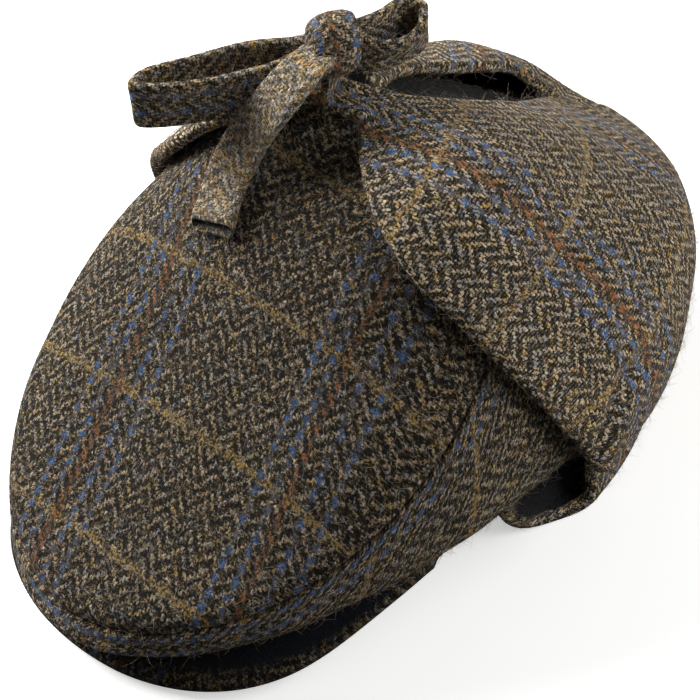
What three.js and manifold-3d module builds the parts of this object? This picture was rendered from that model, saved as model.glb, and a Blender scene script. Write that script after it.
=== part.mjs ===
// Flat cap in herringbone wool. Its two ear flaps are folded up over the crown and tied on top in a bow.
// Millimetres, +Z up. The peak points to -Y, the wearer's left is +X, and the cap stands on z = 0.
import * as THREE from 'three';
import Module from 'manifold-3d';

// Driving sizes
const crownWall = 2.6;
const peakThickness = 3.6;
const flapThickness = 4.5;
const strapWidth = 17;
const strapThickness = 3.6;
const restGap = 0.35;
const frontRoundness = 0.8;

// Facets round and along each sheet
const crownColumns = 46;
const peakColumns = 32;
const flapColumns = 20;

// Crown rings from the head opening to the top. Each ring reaches front, back and sideways
// from its middle, and its height differs at the front, the sides and the back.
const crownRings = [
  { level: 0.00, halfWidth: 76.0, front: 96, back: 96, middle: 0, frontZ: 20, sideZ: 14, backZ: 10 },
  { level: 0.12, halfWidth: 82.5, front: 146, back: 101, middle: 0, frontZ: 12, sideZ: 26, backZ: 13 },
  { level: 0.20, halfWidth: 90.0, front: 146, back: 108, middle: 0, frontZ: 17, sideZ: 34, backZ: 22 },
  { level: 0.30, halfWidth: 93.0, front: 142, back: 115, middle: 0, frontZ: 25, sideZ: 46, backZ: 35 },
  { level: 0.48, halfWidth: 86.5, front: 111, back: 122, middle: 0, frontZ: 47, sideZ: 73, backZ: 57 },
  { level: 0.66, halfWidth: 68.0, front: 73, back: 96, middle: 2, frontZ: 77, sideZ: 96, backZ: 78 },
  { level: 0.84, halfWidth: 42.0, front: 36, back: 54, middle: 6, frontZ: 108, sideZ: 123, backZ: 110 },
  { level: 1.00, halfWidth: 0.0, front: -13, back: 13, middle: 13, frontZ: 131, sideZ: 131, backZ: 131 },
];

// The seam between top panel and side band climbs from the front edge to the flap, then runs level.
const seamPath = [
  { angle: 0, level: 0.240 },
  { angle: 25, level: 0.274 },
  { angle: 45, level: 0.322 },
  { angle: 60, level: 0.390 },
  { angle: 72, level: 0.482 },
  { angle: 84, level: 0.596 },
  { angle: 102, level: 0.660 },
  { angle: 140, level: 0.690 },
  { angle: 180, level: 0.690 },
];
const seamHalfGap = 0.0012;
const bandLowerLevels = [0, 0.04, 0.08, 0.105, 0.12, 0.14, 0.17];
const bandUpperSteps = 6;
const topPanelSteps = 10;

// Peak: a broad arc in plan that hangs lowest in the middle, rises to its ends and closes on the rim there.
const peakHalfWidth = 73.6;
const peakFront = 144;
const peakEnds = 41;
const peakBluntness = 0.48;
const peakEndRise = 6;
const peakFlatRise = 0.4;
const peakTipRise = 4.2;
const peakTipSharpness = 24;
const peakRimAngle = 70;
const peakRows = 6;
const peakBow = 1.5;

// Flap: the strip under the rim folds out over the floor and turns up. Each fold row has its share
// of the way out from the rim, the height of its middle, and the angle of its front edge.
const foldRows = [
  { share: -0.06, height: null, frontAngle: 83 },
  { share: 0.00, height: 6.4, frontAngle: 85 },
  { share: 0.16, height: 3.1, frontAngle: 87 },
  { share: 0.38, height: 2.25, frontAngle: 89 },
  { share: 0.66, height: 2.25, frontAngle: 93 },
  { share: 0.90, height: 4.2, frontAngle: 96.5 },
];

// Above the fold the flap follows the crown: the front and upper edges of the left and right flap,
// and its distance off the crown.
const flapRows = [
  { level: 0.12, frontLeft: 97.5, frontRight: 97.5, upperLeft: 180, upperRight: 180, off: 5.6 },
  { level: 0.20, frontLeft: 94.0, frontRight: 94.0, upperLeft: 180, upperRight: 180, off: 5.2 },
  { level: 0.29, frontLeft: 90.2, frontRight: 90.2, upperLeft: 180, upperRight: 180, off: 4.6 },
  { level: 0.38, frontLeft: 88.6, frontRight: 88.6, upperLeft: 180, upperRight: 180, off: 4.2 },
  { level: 0.47, frontLeft: 86.2, frontRight: 86.2, upperLeft: 180, upperRight: 180, off: 3.6 },
  { level: 0.56, frontLeft: 82.6, frontRight: 82.6, upperLeft: 180, upperRight: 180, off: 3.6 },
  { level: 0.64, frontLeft: 78.2, frontRight: 77.0, upperLeft: 180, upperRight: 180, off: 3.6 },
  { level: 0.71, frontLeft: 72.4, frontRight: 70.5, upperLeft: 178, upperRight: 170, off: 3.8 },
  { level: 0.76, frontLeft: 66.4, frontRight: 66.5, upperLeft: 171, upperRight: 168, off: 4.0 },
  { level: 0.81, frontLeft: 60.6, frontRight: 64.5, upperLeft: 164, upperRight: 163.5, off: 4.0 },
  { level: 0.86, frontLeft: 54.6, frontRight: 64.0, upperLeft: 157.5, upperRight: 157.5, off: 4.0 },
  { level: 0.91, frontLeft: 48.0, frontRight: 65.0, upperLeft: 151, upperRight: 151, off: 4.0 },
  { level: 0.95, frontLeft: 40.0, frontRight: 68.0, upperLeft: 140, upperRight: 140, off: 4.2 },
];
const flapBackTuck = 2.0;

// The right flap puffs out behind its upper edge
const puff = { height: 9.5, angle: 158, angleReach: 15, level: 0.675, levelReach: 0.1 };

// Each flap narrows to a tie that runs up into the knot, with its back edge a little higher
const tieRows = {
  left: [
    { x: 4.5, y: 8.0, z: 138.4, width: 15, rise: 3 },
    { x: -0.5, y: 5.0, z: 139.6, width: 11, rise: 6.5 },
    { x: -7.0, y: 2.2, z: 141.0, width: 9, rise: 8.5 },
    { x: -9.2, y: 3.4, z: 148.0, width: 9, rise: 7 },
  ],
  right: [
    { x: -13.4, y: 12.0, z: 139.5, width: 18, rise: 0 },
    { x: -14.0, y: 10.5, z: 143.5, width: 15, rise: 0 },
    { x: -13.0, y: 9.0, z: 149.0, width: 13, rise: 0 },
  ],
};

// Bow: stations of each strap's middle line, with the way its width lies there
const knot = { x: -11.5, y: 8, z: 155, across: 10, high: 10.8 };
const strapPaths = {
  bow_tail_front: [
    { x: -10.5, y: 5, z: 156, wx: 0.98, wy: -0.1, wz: -0.05 },
    { x: -9.5, y: -5.5, z: 156, wx: 0.98, wy: -0.1, wz: -0.05 },
    { x: -13, y: -16, z: 147.5, wx: 0.9, wy: -0.25, wz: -0.36 },
    { x: -22, y: -21.5, z: 132.5, wx: 0.93, wy: -0.18, wz: -0.3 },
    { x: -26, y: -30.5, z: 118.2, wx: 1, wy: 0, wz: 0 },
    { x: -21.5, y: -44.5, z: 107, wx: 0.99, wy: 0.06, wz: 0.1 },
  ],
  bow_loop_right: [
    { x: -12, y: 4, z: 153, wx: -0.1, wy: 0.1, wz: 1 },
    { x: -21.6, y: -11.5, z: 145, wx: -0.1, wy: 0.1, wz: 1 },
    { x: -29.5, y: -18.7, z: 142.5, wx: 0, wy: 0, wz: 1 },
    { x: -37.4, y: -29, z: 142, wx: 0, wy: 0, wz: 1 },
    { x: -46, y: -39, z: 142, wx: 0, wy: 0, wz: 1 },
    { x: -53, y: -43.5, z: 142, wx: 0, wy: 0, wz: 1 },
    { x: -55, y: -37, z: 142, wx: 0, wy: 0, wz: 1 },
    { x: -47, y: -20.4, z: 142.5, wx: 0, wy: 0, wz: 1 },
    { x: -39.4, y: -9.2, z: 143.5, wx: 0, wy: 0, wz: 1 },
    { x: -30.4, y: -2.5, z: 146.5, wx: 0, wy: 0, wz: 1 },
    { x: -15, y: 6, z: 152, wx: 0, wy: 0, wz: 1 },
  ],
  bow_loop_left: [
    { x: -8, y: 11, z: 153, wx: 0.3, wy: 0.1, wz: 0.9 },
    { x: -1, y: 18, z: 149.5, wx: 0.4, wy: 0.2, wz: 0.85 },
    { x: 1.3, y: 26, z: 148, wx: 0.45, wy: 0.2, wz: 0.85 },
    { x: 1.2, y: 34, z: 148, wx: 0.3, wy: 0.1, wz: 0.95 },
    { x: -2.5, y: 40, z: 149, wx: 0, wy: 0, wz: 1 },
    { x: -7.5, y: 36, z: 150.5, wx: 0, wy: 0, wz: 1 },
    { x: -7.6, y: 26, z: 152.5, wx: 0, wy: 0, wz: 1 },
    { x: -11, y: 13, z: 154.5, wx: 0, wy: 0, wz: 1 },
  ],
  bow_tail_back: [
    { x: -15, y: 14, z: 151, wx: 0.1, wy: 1, wz: -0.1 },
    { x: -25, y: 15, z: 147, wx: 0.1, wy: 1, wz: -0.12 },
    { x: -35, y: 12, z: 142, wx: 0.1, wy: 1, wz: -0.15 },
    { x: -45, y: 8, z: 136.5, wx: 0.1, wy: 1, wz: -0.1 },
    { x: -54, y: 5, z: 130.5, wx: 0.1, wy: 1, wz: -0.1 },
  ],
};

// Angle in degrees to radians
const radians = (degrees) => THREE.MathUtils.degToRad(degrees);

// Value of one column at a place along a table, on a smooth cubic through its rows
function tableValue(rows, key, column, at) {
  const last = rows.length - 2;
  let i = 0;
  while (i < last && at > rows[i + 1][key]) i += 1;
  const chord = (k) => (rows[k + 1][column] - rows[k][column]) / (rows[k + 1][key] - rows[k][key]);
  const span = (k) => rows[k + 1][key] - rows[k][key];
  const slope = (k) => {
    if (k === 0) return chord(0);
    if (k === rows.length - 1) return chord(k - 1);
    return (chord(k - 1) * span(k) + chord(k) * span(k - 1)) / (span(k) + span(k - 1));
  };
  const t = (at - rows[i][key]) / span(i);
  const start = (2 * t ** 3 - 3 * t ** 2 + 1) * rows[i][column];
  const end = (3 * t ** 2 - 2 * t ** 3) * rows[i + 1][column];
  const leave = (t ** 3 - 2 * t ** 2 + t) * span(i) * slope(i);
  const arrive = (t ** 3 - t ** 2) * span(i) * slope(i + 1);
  return start + end + leave + arrive;
}

// Point of the crown's outer face: angle 0 is the front, 90 degrees the wearer's left
function crownPoint(angle, level) {
  const ring = (column) => tableValue(crownRings, 'level', column, level);
  const along = Math.cos(angle);
  const across = Math.sin(angle);
  const middle = ring('middle');
  const forward = -(ring('front') + middle) * Math.abs(along) ** frontRoundness;
  const rearward = (ring('back') - middle) * Math.abs(along);
  const endZ = along > 0 ? ring('frontZ') : ring('backZ');
  const sideZ = ring('sideZ');
  return new THREE.Vector3(
    ring('halfWidth') * across,
    middle + (along > 0 ? forward : rearward),
    sideZ + (endZ - sideZ) * along * along,
  );
}

// Outward direction of the crown's face
function crownNormal(angle, level) {
  const step = 0.002;
  const round = crownPoint(angle + step, level).sub(crownPoint(angle - step, level));
  const high = crownPoint(angle, Math.min(level + step, 1));
  const up = high.sub(crownPoint(angle, Math.max(level - step, 0)));
  return round.cross(up).normalize();
}

function crownOffset(angle, level, distance) {
  return crownPoint(angle, level).addScaledVector(crownNormal(angle, level), distance);
}

function seamLevel(angle) {
  const degrees = THREE.MathUtils.radToDeg(Math.acos(Math.cos(angle)));
  return tableValue(seamPath, 'angle', 'level', degrees);
}

function meshGeometry(points, triangles, mirrored = false) {
  const geometry = new THREE.BufferGeometry();
  geometry.setAttribute('position', new THREE.Float32BufferAttribute(points.flatMap((p) => p.toArray()), 3));
  const faces = mirrored ? triangles.map(([a, b, c]) => [a, c, b]) : triangles;
  geometry.setIndex(faces.flat());
  geometry.computeVertexNormals();
  return geometry;
}

// Closed sheet between an outer and an inner grid of rows. A wrapped sheet joins its last column to
// its first, and a capped one closes over its last row to one outer and one inner point.
function sheetGeometry(outer, inner, { wrap = false, cap = null, mirrored = false } = {}) {
  const rows = outer.length;
  const columns = outer[0].length;
  const points = [...outer.flat(), ...inner.flat()];
  const out = (i, j) => i * columns + (j % columns);
  const into = (i, j) => rows * columns + out(i, j);
  const triangles = [];
  const quad = (a, b, c, d) => triangles.push([a, b, c], [a, c, d]);
  const across = wrap ? columns : columns - 1;
  for (let i = 0; i < rows - 1; i += 1) {
    for (let j = 0; j < across; j += 1) {
      quad(out(i, j), out(i, j + 1), out(i + 1, j + 1), out(i + 1, j));
      quad(into(i, j), into(i + 1, j), into(i + 1, j + 1), into(i, j + 1));
    }
    if (!wrap) {
      quad(out(i, 0), out(i + 1, 0), into(i + 1, 0), into(i, 0));
      quad(out(i + 1, across), out(i, across), into(i, across), into(i + 1, across));
    }
  }
  const top = rows - 1;
  if (cap) points.push(cap.outer, cap.inner);
  for (let j = 0; j < across; j += 1) {
    quad(out(0, j + 1), out(0, j), into(0, j), into(0, j + 1));
    if (cap) {
      triangles.push([out(top, j), out(top, j + 1), points.length - 2]);
      triangles.push([into(top, j + 1), into(top, j), points.length - 1]);
    } else {
      quad(out(top, j), out(top, j + 1), into(top, j + 1), into(top, j));
    }
  }
  return meshGeometry(points, triangles, mirrored);
}

// Crown wall between two faces, for levels that may change round the crown
function crownWallGrids(levelRows) {
  const grid = (depth) => levelRows.map((levelAt) => Array.from({ length: crownColumns }, (_, j) => {
    const angle = (2 * Math.PI * j) / crownColumns;
    return crownOffset(angle, levelAt(angle), -depth);
  }));
  return { outer: grid(0), inner: grid(crownWall) };
}

function crownTop() {
  const levelRows = Array.from({ length: topPanelSteps }, (_, i) => (angle) => {
    const start = seamLevel(angle) + seamHalfGap;
    return start + (1 - start) * (i / topPanelSteps);
  });
  const { outer, inner } = crownWallGrids(levelRows);
  const apex = crownPoint(0, 1);
  const cap = { outer: apex, inner: apex.clone().setZ(apex.z - crownWall) };
  return sheetGeometry(outer, inner, { wrap: true, cap });
}

function crownSide() {
  const lowest = bandLowerLevels[bandLowerLevels.length - 1];
  const levelRows = bandLowerLevels.map((level) => () => level);
  for (let i = 1; i <= bandUpperSteps; i += 1) {
    levelRows.push((angle) => {
      const end = seamLevel(angle) - seamHalfGap;
      return lowest + (end - lowest) * (i / bandUpperSteps);
    });
  }
  const { outer, inner } = crownWallGrids(levelRows);
  return sheetGeometry(outer, inner, { wrap: true });
}

// Peak: straight rows from the rim to the outer arc, bowed a little upwards
function peak() {
  const underside = Array.from({ length: peakRows }, (_, i) => i / (peakRows - 1));
  const face = (lift) => underside.map((share) => Array.from({ length: peakColumns + 1 }, (_, j) => {
    const turn = (2 * j) / peakColumns - 1;
    const rim = crownPoint(turn * radians(peakRimAngle), 0);
    rim.z -= restGap + peakThickness;
    const sweep = (turn * Math.PI) / 2;
    const sine = Math.sin(sweep);
    const reach = Math.max(Math.cos(sweep), 0) ** peakBluntness;
    const edge = new THREE.Vector3(
      peakHalfWidth * sine,
      -peakEnds - (peakFront - peakEnds) * reach,
      Math.max(0, peakEndRise * sine ** 2 + peakTipRise * sine ** peakTipSharpness - peakFlatRise),
    );
    const point = rim.lerp(edge, share);
    point.z += lift + peakBow * Math.sin(Math.PI * share);
    return point;
  }));
  const outer = face(peakThickness).map((row) => row.slice().reverse());
  const inner = face(0).map((row) => row.slice().reverse());
  return sheetGeometry(outer, inner);
}

// Distance of a flap's inner face off the crown
function flapOff(row, angle, puffed) {
  const back = Math.max(-Math.cos(angle), 0) ** 2;
  const round = Math.abs((THREE.MathUtils.radToDeg(angle) - puff.angle) / puff.angleReach) ** 3;
  const rise = ((row.level - puff.level) / puff.levelReach) ** 2;
  return row.off - flapBackTuck * back + (puffed ? puff.height * Math.exp(-round - rise) : 0);
}

// One flap in the wearer's left half: a fold under the rim, a sheet over the crown, and a tie.
// The right flap is built here too and mirrored after.
function flapGrids(right) {
  const half = flapThickness / 2;
  const gapAngle = restGap / 2 / 100;
  const columns = Array.from({ length: flapColumns + 1 }, (_, j) => j / flapColumns);
  const columnAngle = (row, share) => {
    const from = radians(row.frontAngle ?? (right ? row.frontRight : row.frontLeft));
    const to = radians((right ? row.upperRight : row.upperLeft) ?? 180) - gapAngle;
    return from + (to - from) * share;
  };
  const lowest = flapRows[0];
  const foldMiddle = (row, share) => {
    const angle = columnAngle(row, share);
    const rim = crownPoint(angle, 0);
    const upper = crownOffset(angle, lowest.level, flapOff(lowest, angle, false) + half);
    const middle = rim.clone().lerp(upper, row.share);
    middle.z = row.height ?? rim.z - restGap;
    return { middle, outward: upper.sub(rim).setZ(0).normalize() };
  };
  const lowestMiddle = (share) => {
    const angle = columnAngle(lowest, share);
    return crownOffset(angle, lowest.level, flapOff(lowest, angle, false) + half);
  };

  // In the fold the two faces lie square to the run of the section, and the floor flattens the outer one
  const foldFace = (side) => foldRows.map((row, k) => columns.map((share) => {
    const { middle, outward } = foldMiddle(row, share);
    const before = k > 0 ? foldMiddle(foldRows[k - 1], share).middle : middle;
    const after = k + 1 < foldRows.length ? foldMiddle(foldRows[k + 1], share).middle : lowestMiddle(share);
    const run = after.clone().sub(before);
    const level = k > 0 ? run.dot(outward) : 0;
    const square = outward.clone().multiplyScalar(run.z).setZ(-level).normalize();
    const point = middle.addScaledVector(square, side * half);
    point.z = Math.max(point.z, 0);
    if (side > 0 && row.height === half) point.z = 0;
    return point;
  }));
  const crownFace = (extra) => flapRows.map((row) => columns.map((share) => {
    const angle = columnAngle(row, share);
    return crownOffset(angle, row.level, flapOff(row, angle, right) + extra);
  }));

  // The tie keeps one flat width, and its faces lie square to its run
  const stations = tieRows[right ? 'right' : 'left'];
  const places = stations.map((s) => new THREE.Vector3(right ? -s.x : s.x, s.y, s.z));
  const tieFace = (side) => places.map((place, k) => {
    const run = places[Math.min(k + 1, places.length - 1)].clone().sub(places[Math.max(k - 1, 0)]);
    const wide = new THREE.Vector3(0, stations[k].width, stations[k].rise);
    const square = wide.clone().cross(run).normalize();
    return columns.map((share) => place.clone()
      .addScaledVector(wide, share - 0.5)
      .addScaledVector(square, side * half));
  });
  return {
    outer: [...foldFace(1), ...crownFace(flapThickness), ...tieFace(1)],
    inner: [...foldFace(-1), ...crownFace(0), ...tieFace(-1)],
  };
}

function earFlap(right) {
  const { outer, inner } = flapGrids(right);
  const flip = (grid) => grid.map((row) => row.map((p) => (right ? p.setX(-p.x) : p)));
  return sheetGeometry(flip(outer), flip(inner), { mirrored: right });
}

// Knot: a rounded lump, a little taller than wide
function knotGeometry(grow) {
  const lump = new THREE.SphereGeometry(1, 20, 14);
  lump.rotateX(Math.PI / 2);
  lump.scale(knot.across + grow, knot.across + grow, knot.high + grow);
  lump.translate(knot.x, knot.y, knot.z);
  return lump;
}

// Strap: a flat section with bevelled edges carried along its stations, grown all round to cut room for it
function strapGeometry(stations, grow = 0) {
  const steps = 3 * (stations.length - 1);
  const centre = new THREE.CatmullRomCurve3(stations.map((s) => new THREE.Vector3(s.x, s.y, s.z)));
  const across = new THREE.CatmullRomCurve3(stations.map((s) => new THREE.Vector3(s.wx, s.wy, s.wz)));
  const w = strapWidth / 2 + grow;
  const t = strapThickness / 2 + grow;
  const bevel = t * 0.55;
  const section = [[-w, -bevel], [-w + bevel, -t], [w - bevel, -t], [w, -bevel]];
  section.push([w, bevel], [w - bevel, t], [-w + bevel, t], [-w, bevel]);
  const points = [];
  const triangles = [];
  const sides = section.length;
  for (let i = 0; i <= steps; i += 1) {
    const tangent = centre.getTangent(i / steps);
    const wide = across.getPoint(i / steps);
    wide.addScaledVector(tangent, -wide.dot(tangent)).normalize();
    const thick = tangent.clone().cross(wide);
    const middle = centre.getPoint(i / steps);
    section.forEach(([a, b]) => {
      points.push(middle.clone().addScaledVector(wide, a).addScaledVector(thick, b));
    });
  }
  for (let i = 0; i < steps; i += 1) {
    for (let j = 0; j < sides; j += 1) {
      const a = i * sides + j;
      const b = i * sides + ((j + 1) % sides);
      triangles.push([a, b, b + sides], [a, b + sides, a + sides]);
    }
  }
  for (let j = 1; j < sides - 1; j += 1) {
    triangles.push([0, j + 1, j]);
    triangles.push([steps * sides, steps * sides + j, steps * sides + j + 1]);
  }
  return meshGeometry(points, triangles);
}

// Solids for cutting: equal corners are merged so that each surface closes
const wasm = await Module();
wasm.setup();

function toSolid(geometry) {
  const position = geometry.getAttribute('position');
  const index = geometry.getIndex();
  const corners = new Map();
  const vertProperties = [];
  const triVerts = [];
  for (let i = 0; i < index.count; i += 3) {
    const face = [0, 1, 2].map((k) => {
      const p = new THREE.Vector3().fromBufferAttribute(position, index.getX(i + k));
      const key = p.toArray().map((c) => Math.round(c * 1e4)).join(' ');
      if (!corners.has(key)) {
        corners.set(key, vertProperties.length / 3);
        vertProperties.push(...p.toArray());
      }
      return corners.get(key);
    });
    if (new Set(face).size === 3) triVerts.push(...face);
  }
  const mesh = new wasm.Mesh({
    numProp: 3,
    vertProperties: new Float32Array(vertProperties),
    triVerts: new Uint32Array(triVerts),
  });
  return new wasm.Manifold(mesh);
}

function cutAway(geometry, tool) {
  const { vertProperties, triVerts } = toSolid(geometry).subtract(tool).getMesh();
  const cut = new THREE.BufferGeometry();
  cut.setAttribute('position', new THREE.Float32BufferAttribute(vertProperties, 3));
  cut.setIndex(Array.from(triVerts));
  cut.computeVertexNormals();
  return cut;
}

const tweed = { color: 0x6a5f50, roughness: 0.95, metalness: 0 };
const cap = new THREE.Group();

function addPiece(name, geometry) {
  const piece = new THREE.Mesh(geometry, new THREE.MeshStandardMaterial(tweed));
  piece.name = name;
  cap.add(piece);
}

// The knot and each strap keep clear room for themselves: later straps and the flaps are cut back from it
addPiece('crown_top', crownTop());
addPiece('crown_side', crownSide());
addPiece('peak', peak());
addPiece('bow_knot', knotGeometry(0));
let taken = toSolid(knotGeometry(restGap));
Object.entries(strapPaths).forEach(([name, stations]) => {
  addPiece(name, cutAway(strapGeometry(stations), taken));
  taken = taken.add(toSolid(strapGeometry(stations, restGap)));
});
addPiece('ear_flap_left', cutAway(earFlap(false), taken));
addPiece('ear_flap_right', cutAway(earFlap(true), taken));

// The origin is under the middle of the whole cap, on the floor
const extent = new THREE.Box3().setFromObject(cap);
const middle = extent.getCenter(new THREE.Vector3());
cap.position.set(-middle.x, -middle.y, -extent.min.z);

export default cap;
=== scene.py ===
import functools
import math

import bpy
import numpy as np
from mathutils import Matrix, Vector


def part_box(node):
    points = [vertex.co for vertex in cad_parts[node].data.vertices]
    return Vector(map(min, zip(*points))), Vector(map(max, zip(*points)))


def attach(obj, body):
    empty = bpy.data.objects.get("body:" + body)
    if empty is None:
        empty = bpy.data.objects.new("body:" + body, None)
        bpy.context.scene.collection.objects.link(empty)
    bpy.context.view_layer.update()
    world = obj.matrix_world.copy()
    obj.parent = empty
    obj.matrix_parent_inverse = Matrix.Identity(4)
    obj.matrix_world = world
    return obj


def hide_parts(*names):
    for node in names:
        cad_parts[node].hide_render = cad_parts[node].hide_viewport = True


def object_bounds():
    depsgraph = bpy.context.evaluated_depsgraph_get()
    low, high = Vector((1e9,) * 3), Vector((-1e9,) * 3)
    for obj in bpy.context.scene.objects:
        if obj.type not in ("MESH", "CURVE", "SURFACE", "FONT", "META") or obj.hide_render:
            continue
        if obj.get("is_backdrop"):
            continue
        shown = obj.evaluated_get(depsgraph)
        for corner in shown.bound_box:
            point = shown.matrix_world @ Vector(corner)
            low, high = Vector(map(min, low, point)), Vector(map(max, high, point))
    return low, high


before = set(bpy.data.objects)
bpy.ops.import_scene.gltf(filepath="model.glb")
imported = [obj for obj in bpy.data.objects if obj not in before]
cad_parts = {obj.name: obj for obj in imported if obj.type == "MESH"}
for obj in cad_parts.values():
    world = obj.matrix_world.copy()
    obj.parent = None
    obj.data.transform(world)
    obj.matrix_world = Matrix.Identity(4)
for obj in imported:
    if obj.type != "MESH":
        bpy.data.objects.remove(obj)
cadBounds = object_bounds()
print("frame loaded:", len(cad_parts), "nodes")

# Tables are in millimetres with +Z up, the peak to -Y and the wearer's left at +X.
crownLevels = [0.00, 0.12, 0.20, 0.30, 0.48, 0.66, 0.84, 1.00]
crownRings = {
    "halfWidth": [76.0, 82.5, 90.0, 93.0, 86.5, 68.0, 42.0, 0.0],
    "front": [96, 146, 146, 142, 111, 73, 36, -13],
    "back": [96, 101, 108, 115, 122, 96, 54, 13],
    "middle": [0, 0, 0, 0, 0, 2, 6, 13],
    "frontZ": [20, 12, 17, 25, 47, 77, 108, 131],
    "sideZ": [14, 26, 34, 46, 73, 96, 123, 131],
    "backZ": [10, 13, 22, 35, 57, 78, 110, 131],
}
seamPath = {
    "angle": [0, 25, 45, 60, 72, 84, 102, 140, 180],
    "level": [0.240, 0.274, 0.322, 0.390, 0.482, 0.596, 0.660, 0.690, 0.690],
}
crown = {"wall": 2.6, "frontRoundness": 0.8, "levelLength": 185.0, "normalStep": 0.004,
         "seamGap": 0.0012, "seamDip": 0.65, "seamDipWidth": 2.2,
         "seamPuff": 0.6, "seamPuffPlace": 9.0, "seamPuffWidth": 5.5, "unevenness": 0.7, "evenAtSeam": 6.0}
knotPlace = {"centre": (-11.5, 8.0, 155.0), "across": 10.0, "high": 10.8}

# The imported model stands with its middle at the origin, so the tables move along with the knot.
knotLow, knotHigh = (np.array(corner) * 1000 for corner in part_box("bow_knot"))
shift = (knotLow + knotHigh) / 2 - np.array(knotPlace["centre"])
join = np.concatenate


def smoothThrough(x, y, at):
    # Cubic through every row: each slope is the two neighbouring chords weighted by the opposite span.
    x, y, at = np.asarray(x, float), np.asarray(y, float), np.asarray(at, float)
    spread = (slice(None),) + (None,) * (y.ndim - 1)
    span = np.diff(x)[spread]
    chord = np.diff(y, axis=0) / span
    between = (chord[:-1] * span[1:] + chord[1:] * span[:-1]) / (span[1:] + span[:-1])
    slope = join([chord[:1], between, chord[-1:]])
    row = np.clip(np.searchsorted(x, at) - 1, 0, len(x) - 2)
    reach = x[row + 1] - x[row]
    share = (at - x[row]) / reach
    if y.ndim > 1:
        share, reach = share[spread], reach[spread]
    rise, early, late = y[row + 1] - y[row], reach * slope[row], reach * slope[row + 1]
    bend, twist = 3 * rise - 2 * early - late, early + late - 2 * rise
    return y[row] + share * (early + share * (bend + share * twist))


def unit(vectors):
    return vectors / np.maximum(np.linalg.norm(vectors, axis=-1, keepdims=True), 1e-9)


def fade(value, start, width):
    # From nought to one over a width, and level before and after it.
    return np.clip((value - start) / width, 0, 1)


def bell(value):
    # One at nought, falling away to both sides.
    return np.exp(-(value**2))


def pairUp(across, along):
    # Places on the cloth from its two directions.
    return np.stack(np.broadcast_arrays(across, along), -1)


def lengthAlong(points, axis):
    # Distance run so far, from nought, along a row or column of points.
    steps = np.linalg.norm(np.diff(points, axis=axis), axis=-1)
    return join([np.zeros_like(np.take(steps, [0], axis)), np.cumsum(steps, axis)], axis)


def crownPoint(angle, level):
    # Half-rings in front and behind with their own reach; height goes from side to end with cos squared.
    ring = {key: smoothThrough(crownLevels, row, level) for key, row in crownRings.items()}
    along, across = np.cos(angle), np.sin(angle)
    middle, sideZ = ring["middle"], ring["sideZ"]
    ahead = middle - (ring["front"] + middle) * np.abs(along) ** crown["frontRoundness"]
    behind = middle + (ring["back"] - middle) * np.abs(along)
    endZ = np.where(along > 0, ring["frontZ"], ring["backZ"])
    return np.stack([ring["halfWidth"] * across, np.where(along > 0, ahead, behind),
                     sideZ + (endZ - sideZ) * along**2], -1)


def crownNormal(angle, level):
    # Cross product of the two steps along the surface.
    step = crown["normalStep"]
    level = np.clip(level, step, 1 - step)
    aside = crownPoint(angle + step, level) - crownPoint(angle - step, level)
    up = crownPoint(angle, level + step) - crownPoint(angle, level - step)
    return unit(np.cross(aside, up))


def crownOff(angle, level, off):
    # A point of the crown, moved out along the normal.
    angle, level = np.broadcast_arrays(angle, level)
    return crownPoint(angle, level) + crownNormal(angle, level) * np.asarray(off)[..., None]


def seamLevel(angle):
    # The seam's height table, read with the angle from the front to either side.
    fromFront = np.degrees(np.arccos(np.clip(np.cos(angle), -1, 1)))
    return smoothThrough(seamPath["angle"], seamPath["level"], fromFront)


def softWaves(points, seed, length, height):
    # Sum of plane waves with fixed random headings, for cloth that is never quite even.
    waves, lengthSpread, gain = 9, (0.6, 1.6), 1.7
    dice = np.random.default_rng(seed)
    heading = unit(dice.normal(size=(waves, 3))) * dice.uniform(*lengthSpread, (waves, 1))
    phase = dice.uniform(0, 2 * np.pi, waves)
    return height * np.sin(points @ (heading.T * 2 * np.pi / length) + phase).mean(-1) * gain


def layFlat(grid, start, wrap=False, rounds=700, eagerness=1.5):
    # A flat copy of the grid is pulled until its edges and diagonals are as long as on the piece.
    whole, early, late = slice(None), slice(0, -1), slice(1, None)
    pairs = [((early, whole), (late, whole)), ((whole, early), (whole, late)),
             ((early, early), (late, late)), ((early, late), (late, early))]
    count = np.zeros(grid.shape[:2] + (1,))
    for one, two in pairs:
        count[one] += 1
        count[two] += 1
    if wrap:
        pairs.append(((whole, -1), (whole, 0)))
    want = [np.linalg.norm(grid[two] - grid[one], axis=-1) for one, two in pairs]
    flat = start.astype(float).copy()
    for _ in range(rounds):
        move = np.zeros_like(flat)
        for (one, two), length in zip(pairs, want):
            run = flat[two] - flat[one]
            pull = 0.5 * (1 - length / np.maximum(np.linalg.norm(run, axis=-1), 1e-6))[..., None] * run
            move[one] += pull
            move[two] -= pull
        flat += eagerness * move / count
    return flat


def betweenGrid(coarse, rowPlaces, columnPlaces):
    # Values of a coarse grid at places between its rows and columns, in straight steps.
    for places in (rowPlaces, columnPlaces):
        low = np.clip(np.floor(places).astype(int), 0, len(coarse) - 2)
        share = (places - low)[:, None, None]
        coarse = ((1 - share) * coarse[low] + share * coarse[low + 1]).swapaxes(0, 1)
    return coarse


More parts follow.
